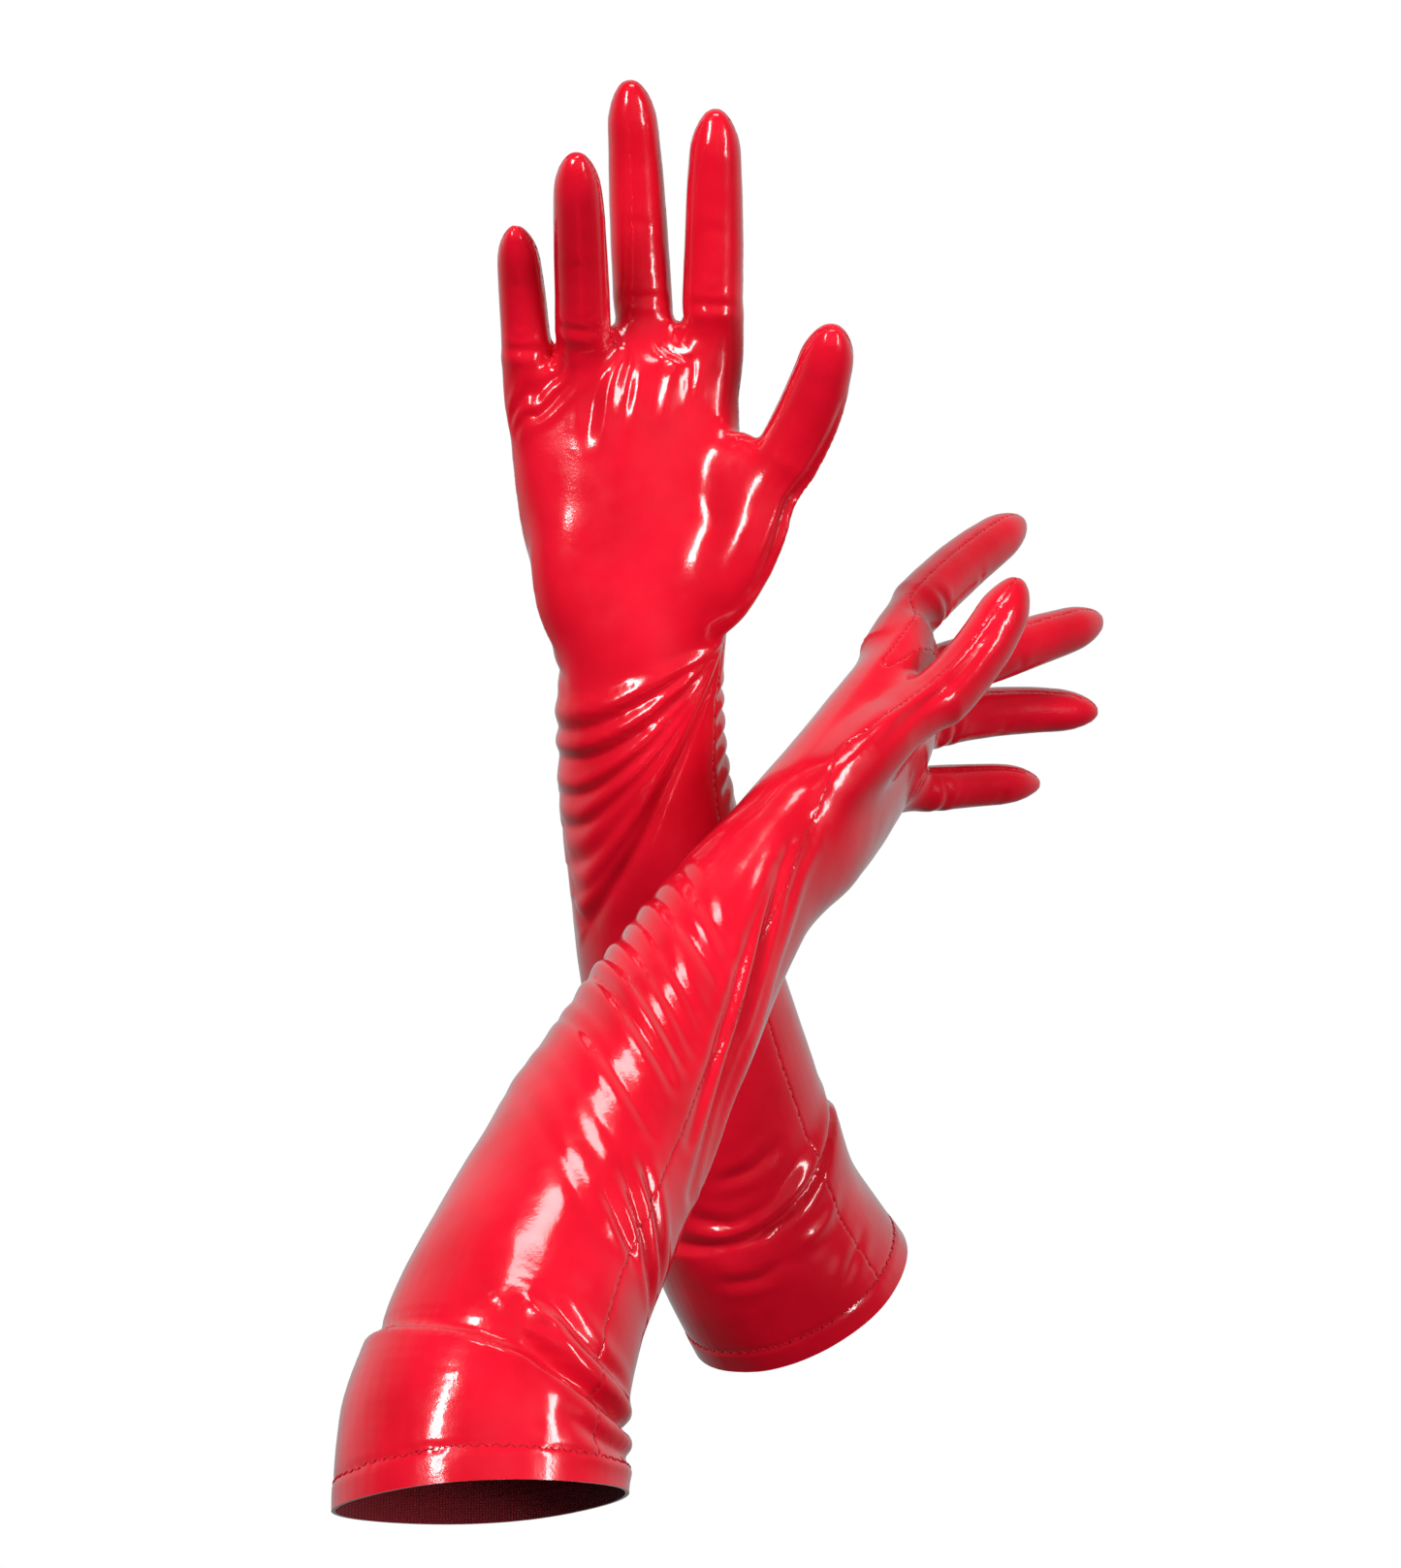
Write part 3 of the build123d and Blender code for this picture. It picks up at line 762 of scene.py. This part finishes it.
def seam_fields(skin):
    """Columns that are zero along the rim, the hem's row, the stalls' roots and the two kinds of seam."""
    glove = skin.glove
    rim = skin.reach - skin.rim_line()
    root = skin.stall_reach - STALL_CUT
    turn_gap = (skin.turn - skin.seam_turn() + 180) % 360 - 180
    arm = np.sin(np.radians(turn_gap)) * 30.0
    along, lateral, height = glove.spines["thumb"].locate(skin.points)
    close = 1 - ramp(np.hypot(lateral, height), 11.0, 21.0)
    close *= ramp(along, 8.0, 26.0)
    arm = arm * (1 - close) + height * glove.mirror * close
    finger = (skin.stall_number > 0) & (skin.stall_reach > -30)
    near = np.where(finger, ramp(skin.stall_reach, -26.0, -10.0), 0.0)
    arm = arm * (1 - near) + skin.stall_height * near
    return np.stack([rim, rim - HEM_HEIGHT, root, arm, skin.stall_height], axis=1)


def cut_faces(table, faces, column):
    """Splits faces along a column's zero line; returns the faces below and above, and the grown table."""
    values = table[:, column]
    rows = [table]
    grown = {}
    count = len(table)
    below, above = [], []

    def middle(i, j):
        nonlocal count
        key = (i, j) if i < j else (j, i)
        if key not in grown:
            a, b = key
            t = values[a] / (values[a] - values[b])
            row = table[a] * (1 - t) + table[b] * t
            row[column] = 0.0
            row[NUMBER] = table[a if t < 0.5 else b][NUMBER]
            rows.append(row[None, :])
            grown[key] = count
            count += 1
        return grown[key]

    signs = values > 0
    for face in faces:
        marks = [signs[i] for i in face]
        total = sum(marks)
        if total == 0:
            below.append(face)
            continue
        if total == len(face):
            above.append(face)
            continue
        changes = sum(marks[k] != marks[k - 1] for k in range(len(face)))
        fan = [(face[0], face[k], face[k + 1]) for k in range(1, len(face) - 1)]
        for share in [face] if changes == 2 else fan:
            low, high = [], []
            for k, i in enumerate(share):
                j = share[(k + 1) % len(share)]
                (high if signs[i] else low).append(i)
                if signs[i] != signs[j]:
                    m = middle(i, j)
                    low.append(m)
                    high.append(m)
            if len(low) > 2:
                below.append(tuple(low))
            if len(high) > 2:
                above.append(tuple(high))
    return np.vstack(rows), below, above


def face_normals(points, faces):
    """Directions of the faces, and of the points they share."""
    normals = np.zeros((len(points), 3))
    flat = np.empty((len(faces), 3))
    for size in sorted({len(face) for face in faces}):
        which = [n for n, face in enumerate(faces) if len(face) == size]
        block = np.array([faces[n] for n in which])
        total = np.zeros((len(block), 3))
        for k in range(1, size - 1):
            first = points[block[:, k]] - points[block[:, 0]]
            second = points[block[:, k + 1]] - points[block[:, 0]]
            total += np.cross(first, second)
        flat[which] = total
        for k in range(size):
            for axis in range(3):
                normals[:, axis] += np.bincount(block[:, k], total[:, axis], len(points))
    lengths = np.linalg.norm(normals, axis=1)[:, None]
    flat_lengths = np.linalg.norm(flat, axis=1)[:, None]
    return normals / np.maximum(lengths, 1e-12), flat / np.maximum(flat_lengths, 1e-12)


def boundary(faces):
    """The directed edges that only one face uses."""
    found = {}
    for face in faces:
        for k, i in enumerate(face):
            j = face[(k + 1) % len(face)]
            if (j, i) in found:
                del found[(j, i)]
            else:
                found[(i, j)] = True
    return list(found)


def finish_piece(name, mesh, materials, nodes):
    for material in materials:
        mesh.materials.append(material)
    piece = bpy.data.objects.new(name, mesh)
    bpy.context.scene.collection.objects.link(piece)
    if nodes:
        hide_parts(*nodes)
    return piece


def make_panel(name, points, normals, faces, thick, nodes):
    """A panel of coated cloth: glossy outside, knit lining inside, and a cut edge between them."""
    used = sorted({i for face in faces for i in face})
    index = {i: n for n, i in enumerate(used)}
    count = len(used)
    outer = points[used]
    outward = normals[used]
    inner = outer - outward * thick
    rims = boundary(faces)
    new_faces = [tuple(index[i] for i in face) for face in faces]
    new_faces += [tuple(index[i] + count for i in reversed(face)) for face in faces]
    new_faces += [(index[j], index[i], index[i] + count, index[j] + count) for i, j in rims]
    mesh = make_mesh(name, np.vstack([outer, inner]), new_faces)
    cloth_faces = 2 * len(faces)
    slots = [0] * len(faces) + [1] * len(faces) + [0] * len(rims)
    mesh.polygons.foreach_set("material_index", slots)
    mesh.polygons.foreach_set("use_smooth", [True] * len(new_faces))
    _, flat = face_normals(np.vstack([outer, inner]), new_faces[cloth_faces:]) if rims else (None, [])
    directions = []
    for face in new_faces[:cloth_faces]:
        for i in face:
            directions.append(outward[i] if i < count else -outward[i - count])
    for face, way in zip(new_faces[cloth_faces:], flat):
        directions += [way] * len(face)
    mesh.normals_split_custom_set([tuple(d) for d in directions])
    return finish_piece(name, mesh, (VINYL, LINING), nodes)


def chain(edges):
    """Joins edges into lines of points."""
    following = {}
    for i, j in edges:
        following.setdefault(i, []).append(j)
        following.setdefault(j, []).append(i)
    ends = [i for i, others in following.items() if len(others) != 2]
    lines = []
    for start in sorted(ends) + sorted(following):
        while following.get(start):
            line = [start]
            here = start
            while following.get(here):
                other = following[here].pop()
                following[other].remove(here)
                line.append(other)
                here = other
            if len(line) > 3:
                lines.append(line)
    return lines


def add_stitch(parts, start, end, out, radius):
    """One short stitch: a thread that dives into the cloth at both ends."""
    way = unit(end - start)
    across = np.cross(way, out)
    ring = [(math.cos(a), math.sin(a)) for a in np.arange(6) * math.pi / 3]
    vertices, faces = [], []
    for share in (0.0, 0.18, 0.5, 0.82, 1.0):
        lift = radius * (1.5 * math.sin(math.pi * share) - 0.35)
        slim = 0.6 + 0.4 * math.sin(math.pi * share)
        center = start + (end - start) * share + out * lift
        for c, s in ring:
            vertices.append(center + (across * c + out * s) * radius * slim)
    for row in range(4):
        for k in range(6):
            n = (k + 1) % 6
            faces.append((row * 6 + k, row * 6 + n, row * 6 + 6 + n, row * 6 + 6 + k))
    faces.append(tuple(reversed(range(6))))
    faces.append(tuple(range(24, 30)))
    parts.append((np.array(vertices), faces))


def make_stitches(name, lines, stitch, nodes):
    """Stitches along lines of (points, directions); a slant makes them a zigzag."""
    pitch, length, radius, slant = stitch
    parts = []
    for points, outs in lines:
        steps = np.linalg.norm(np.diff(points, axis=0), axis=1)
        at = np.concatenate([[0.0], np.cumsum(steps)])
        count = int(at[-1] / pitch)
        for number in range(count):
            centers = at[-1] * (number + 0.5) / count + np.array([-0.5, 0.5]) * length * math.cos(slant)
            ends = np.array([[np.interp(c, at, points[:, k]) for k in range(3)] for c in centers])
            out = unit(np.array([np.interp(centers.mean(), at, outs[:, k]) for k in range(3)]))
            lean = np.cross(unit(ends[1] - ends[0]), out) * length * math.sin(slant) / 2
            lean = lean if number % 2 else -lean
            add_stitch(parts, ends[0] - lean, ends[1] + lean, out, radius)
    mesh = join_parts(name, parts)
    mesh.polygons.foreach_set("use_smooth", [True] * len(mesh.polygons))
    return finish_piece(name, mesh, (THREAD,), nodes)


def shared_points(first, second):
    return sorted({i for face in first for i in face} & {i for face in second for i in face})


def shared_lines(points, normals, first, second):
    """The lines along which two groups of faces meet."""
    other = {(j, i) for i, j in boundary(second)}
    lines = chain([edge for edge in boundary(first) if edge in other])
    return [(points[line], normals[line]) for line in lines]


def blend_at(piece):
    """Bakes the piece's placement into its mesh."""
    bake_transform(piece)


def make_stall(glove, stall, points, normals, palm, back):
    """A stall's two panels and its thread."""
    body = f"{glove.name}_{stall}"
    back_nodes = [f"{body}_back_panel", f"{body}_root_ring"]
    panels = [
        make_panel(f"{body}_palm", points, normals, palm, CLOTH, [f"{body}_palm_panel"]),
        make_panel(f"{body}_back", points, normals, back, CLOTH, back_nodes),
        make_stitches(f"{body}_seam", shared_lines(points, normals, palm, back), STALL_STITCH, []),
    ]
    hinge, hinge_at = glove.hinges[stall], glove.hinge_at[stall]
    way = unit(glove.on_stall(stall, hinge_at + 4) - glove.on_stall(stall, hinge_at - 4))
    root = sorted({i for edge in boundary(palm + back) for i in edge})
    for piece in panels:
        blend_at(piece)


def make_glove(name):
    """One glove: its skin is shaped, cut into panels along the seams, and sewn."""
    glove = Glove(name)
    skin = Skin(glove)
    shape_folds(skin)
    table = np.hstack([skin.points, skin.normals, seam_fields(skin), skin.stall_number[:, None]])
    table, _, faces = cut_faces(table, skin.faces, RIM)
    table, hem, faces = cut_faces(table, faces, HEM_LINE)
    table, arm, stalls = cut_faces(table, faces, ROOT)
    table, arm_palm, arm_back = cut_faces(table, arm, ARM_SEAM)
    table, stall_palm, stall_back = cut_faces(table, stalls, STALL_SEAM)
    points = table[:, :3]
    seam_points = shared_points(arm_palm, arm_back) + shared_points(stall_palm, stall_back)
    points[seam_points] -= table[seam_points, 3:6] * SEAM_GROOVE
    everything = hem + arm_palm + arm_back + stall_palm + stall_back
    normals, _ = face_normals(points, everything)
    sleeve, hand = f"{name}_sleeve", f"{name}_hand"

    def join_wrist(piece):
        blend_at(piece)

    band = make_panel(f"{name}_hem", points, normals, hem, CLOTH * 2, [f"{name}_hem_band"])
    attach(band, sleeve)
    nodes = [f"{name}_sleeve_palm_panel", f"{name}_hand_palm_panel"]
    join_wrist(make_panel(f"{name}_arm_palm", points, normals, arm_palm, CLOTH, nodes))
    nodes = [f"{name}_sleeve_back_panel", f"{name}_hand_back_panel", f"{name}_wrist_band"]
    join_wrist(make_panel(f"{name}_arm_back", points, normals, arm_back, CLOTH, nodes))
    lines = shared_lines(points, normals, arm_palm, arm_back)
    nodes = [f"{name}_thumb_side_seam", f"{name}_little_side_seam"]
    join_wrist(make_stitches(f"{name}_arm_seam", lines, ARM_STITCH, nodes))
    lines = shared_lines(points, normals, hem, arm_palm) + shared_lines(points, normals, hem, arm_back)
    row = make_stitches(f"{name}_hem_row", lines, HEM_STITCH, [f"{name}_hem_stitches"])
    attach(row, sleeve)
    for number, stall in enumerate(STALLS):
        palm = [face for face in stall_palm if table[face[0], NUMBER] == number]
        back = [face for face in stall_back if table[face[0], NUMBER] == number]
        make_stall(glove, stall, points, normals, palm, back)


def new_material(name):
    material = bpy.data.materials.new(name)
    material.use_nodes = True
    return material, material.node_tree.nodes, material.node_tree.links


def add_node(nodes, kind, **values):
    node = nodes.new(kind)
    for key, value in values.items():
        if key in node.inputs:
            node.inputs[key].default_value = value
        else:
            setattr(node, key, value)
    return node


def map_range(nodes, low, high, to_low, to_high):
    values = {"From Min": low, "From Max": high, "To Min": to_low, "To Max": to_high}
    return add_node(nodes, "ShaderNodeMapRange", **values)


def tones(nodes, dark, light, between=(0.0, 1.0)):
    """A ramp from a dark colour to a light one."""
    colors = add_node(nodes, "ShaderNodeValToRGB")
    for end, color, place in zip(colors.color_ramp.elements, (dark, light), between):
        end.color = (*color, 1)
        end.position = place
    return colors


def link_all(links, *pairs):
    """Links (node, output) to (node, input), pair by pair."""
    for start, output, end, socket in pairs:
        links.new(start.outputs[output], end.inputs[socket])


def vinyl_material():
    """Wet-look vinyl on a knit: a saturated red under a clear coat, with the knit's grain just showing."""
    material, nodes, links = new_material("red_vinyl")
    shader = nodes["Principled BSDF"]
    place = add_node(nodes, "ShaderNodeTexCoord")
    tone = add_node(nodes, "ShaderNodeTexNoise", **{"Scale": 38.0, "Detail": 3.0})
    colors = tones(nodes, (0.66, 0.004, 0.018), (0.80, 0.006, 0.026), (0.35, 0.68))
    wear = add_node(nodes, "ShaderNodeTexNoise", **{"Scale": 160.0, "Detail": 4.0})
    gloss = map_range(nodes, 0.3, 0.7, 0.13, 0.24)
    grain = add_node(nodes, "ShaderNodeTexVoronoi", **{"Scale": 1500.0})
    drag = add_node(nodes, "ShaderNodeTexNoise", **{"Scale": 420.0, "Detail": 2.0})
    fine = add_node(nodes, "ShaderNodeBump", **{"Strength": 0.05, "Distance": 0.0002})
    soft = add_node(nodes, "ShaderNodeBump", **{"Strength": 0.12, "Distance": 0.0003})
    for texture in (tone, wear, grain, drag):
        links.new(place.outputs["Object"], texture.inputs["Vector"])
    link_all(
        links,
        (tone, "Fac", colors, "Fac"),
        (colors, "Color", shader, "Base Color"),
        (wear, "Fac", gloss, "Value"),
        (gloss, "Result", shader, "Roughness"),
        (grain, "Distance", fine, "Height"),
        (drag, "Fac", soft, "Height"),
        (fine, "Normal", soft, "Normal"),
        (soft, "Normal", shader, "Normal"),
        (soft, "Normal", shader, "Coat Normal"),
    )
    shader.inputs["Coat Weight"].default_value = 0.9
    shader.inputs["Coat Roughness"].default_value = 0.07
    shader.inputs["IOR"].default_value = 1.5
    return material


def lining_material():
    """The matte knit backing, with its rows of loops."""
    material, nodes, links = new_material("knit_lining")
    shader = nodes["Principled BSDF"]
    place = add_node(nodes, "ShaderNodeTexCoord")
    rows = add_node(nodes, "ShaderNodeTexWave", **{"Scale": 420.0, "Distortion": 1.5, "Detail": 2.0})
    rows.bands_direction = "Z"
    loops = add_node(nodes, "ShaderNodeTexWave", **{"Scale": 380.0, "Distortion": 1.0, "Detail": 1.0})
    knit = add_node(nodes, "ShaderNodeMath", operation="MULTIPLY")
    colors = tones(nodes, (0.22, 0.006, 0.014), (0.46, 0.016, 0.03))
    bump = add_node(nodes, "ShaderNodeBump", **{"Strength": 0.6, "Distance": 0.0004})
    for texture in (rows, loops):
        links.new(place.outputs["Object"], texture.inputs["Vector"])
    link_all(
        links,
        (rows, "Fac", knit, 0),
        (loops, "Fac", knit, 1),
        (knit, 0, colors, "Fac"),
        (colors, "Color", shader, "Base Color"),
        (knit, 0, bump, "Height"),
        (bump, "Normal", shader, "Normal"),
    )
    shader.inputs["Roughness"].default_value = 0.85
    shader.inputs["Sheen Weight"].default_value = 0.25
    return material


def thread_material():
    """Matching polyester thread with its twist."""
    material, nodes, links = new_material("red_thread")
    shader = nodes["Principled BSDF"]
    place = add_node(nodes, "ShaderNodeTexCoord")
    twist = add_node(nodes, "ShaderNodeTexWave", **{"Scale": 900.0, "Distortion": 0.5})
    twist.bands_direction = "DIAGONAL"
    colors = tones(nodes, (0.30, 0.003, 0.010), (0.58, 0.010, 0.024))
    bump = add_node(nodes, "ShaderNodeBump", **{"Strength": 0.4, "Distance": 0.0001})
    link_all(
        links,
        (place, "Object", twist, "Vector"),
        (twist, "Fac", colors, "Fac"),
        (colors, "Color", shader, "Base Color"),
        (twist, "Fac", bump, "Height"),
        (bump, "Normal", shader, "Normal"),
    )
    shader.inputs["Roughness"].default_value = 0.45
    return material


VIEW_DISTANCE = 1.5
PIXEL = 0.0003  # size of one pixel of the full view at the depth of the pair's middle
VIEW_HEIGHT = 1617 * PIXEL
VIEW_CENTER = (0.058, 0.124, 0.207)


LAMPS = (  # name, place, size, brightness, and whether the gloves mirror it
    ("key", (-0.75, -1.15, 0.75), (0.24, 0.8), 17, True),
    ("side", (1.0, -0.7, 0.35), (0.16, 0.7), 13, True),
    ("top", (0.15, -0.5, 1.4), (0.6, 0.25), 8, True),
    ("wash", (-0.7, -1.2, 1.3), (0.7, 0.7), 14, False),
    ("fill", (0.5, -1.6, 0.4), (1.2, 1.2), 1.0, False),
    ("low", (1.4, -0.75, 0.1), (0.7, 0.7), 5, False),
)


def make_camera():
    """A long lens, level, looking along +Y at the middle of the pair."""
    camera = bpy.data.cameras.new("camera")
    camera.sensor_fit = "VERTICAL"
    camera.sensor_height = 36
    camera.lens = 36 * VIEW_DISTANCE / VIEW_HEIGHT
    view = bpy.data.objects.new("camera", camera)
    view.location = (VIEW_CENTER[0], VIEW_CENTER[1] - VIEW_DISTANCE, VIEW_CENTER[2])
    view.rotation_euler = (math.pi / 2, 0, 0)
    bpy.context.scene.collection.objects.link(view)
    bpy.context.scene.camera = view


def make_light(name, place, size, brightness, mirrored):
    """A soft box that faces the pair; its brightness is its radiance."""
    light = bpy.data.lights.new(name, "AREA")
    light.shape = "RECTANGLE"
    light.size, light.size_y = size
    light.energy = brightness * math.pi * size[0] * size[1]
    lamp = bpy.data.objects.new(name, light)
    lamp.location = place
    lamp.rotation_euler = (Vector(VIEW_CENTER) - Vector(place)).to_track_quat("-Z", "Y").to_euler()
    lamp.visible_glossy = mirrored
    bpy.context.scene.collection.objects.link(lamp)


def make_world():
    """A white room behind and beside the pair, dim in front of it and below it."""
    world = bpy.data.worlds.new("studio")
    world.use_nodes = True
    nodes, links = world.node_tree.nodes, world.node_tree.links
    place = add_node(nodes, "ShaderNodeTexCoord")
    axes = add_node(nodes, "ShaderNodeSeparateXYZ")
    level = map_range(nodes, -0.25, 0.6, 0.04, 0.48)
    level.interpolation_type = "SMOOTHSTEP"
    height = map_range(nodes, -0.7, 0.1, 0.12, 1.0)
    both = add_node(nodes, "ShaderNodeMath", operation="MULTIPLY")
    rays = add_node(nodes, "ShaderNodeLightPath")
    seen = add_node(nodes, "ShaderNodeMath", operation="MAXIMUM")
    link_all(
        links,
        (place, "Generated", axes, 0),
        (axes, "Y", level, "Value"),
        (axes, "Z", height, "Value"),
        (level, "Result", both, 0),
        (height, "Result", both, 1),
        (both, 0, seen, 0),
        (rays, "Is Camera Ray", seen, 1),
        (seen, 0, nodes["Background"], "Strength"),
    )
    nodes["Background"].inputs["Color"].default_value = (1, 1, 1, 1)
    bpy.context.scene.world = world


def make_floor():
    """A pale floor well below the hanging pair."""
    mesh = bpy.data.meshes.new("floor")
    half, drop = 1.3, -0.42
    corners = [(-half, -half, drop), (half, -half, drop), (half, half, drop), (-half, half, drop)]
    mesh.from_pydata(corners, [], [(0, 1, 2, 3)])
    floor = bpy.data.objects.new("floor", mesh)
    bpy.context.scene.collection.objects.link(floor)
    material, nodes, links = new_material("pale_floor")
    shader = nodes["Principled BSDF"]
    speckle = add_node(nodes, "ShaderNodeTexNoise", **{"Scale": 60.0, "Detail": 3.0})
    tint = map_range(nodes, 0.0, 1.0, 0.82, 0.88)
    links.new(speckle.outputs["Fac"], tint.inputs["Value"])
    links.new(tint.outputs["Result"], shader.inputs["Base Color"])
    shader.inputs["Roughness"].default_value = 0.7
    mesh.materials.append(material)
    floor.visible_diffuse = False
    floor.visible_glossy = False


VINYL = vinyl_material()
LINING = lining_material()
THREAD = thread_material()
make_glove("left")
make_glove("right")
make_camera()
make_world()
for lamp in LAMPS:
    make_light(*lamp)
make_floor()
bpy.context.scene.view_settings.view_transform = "Standard"
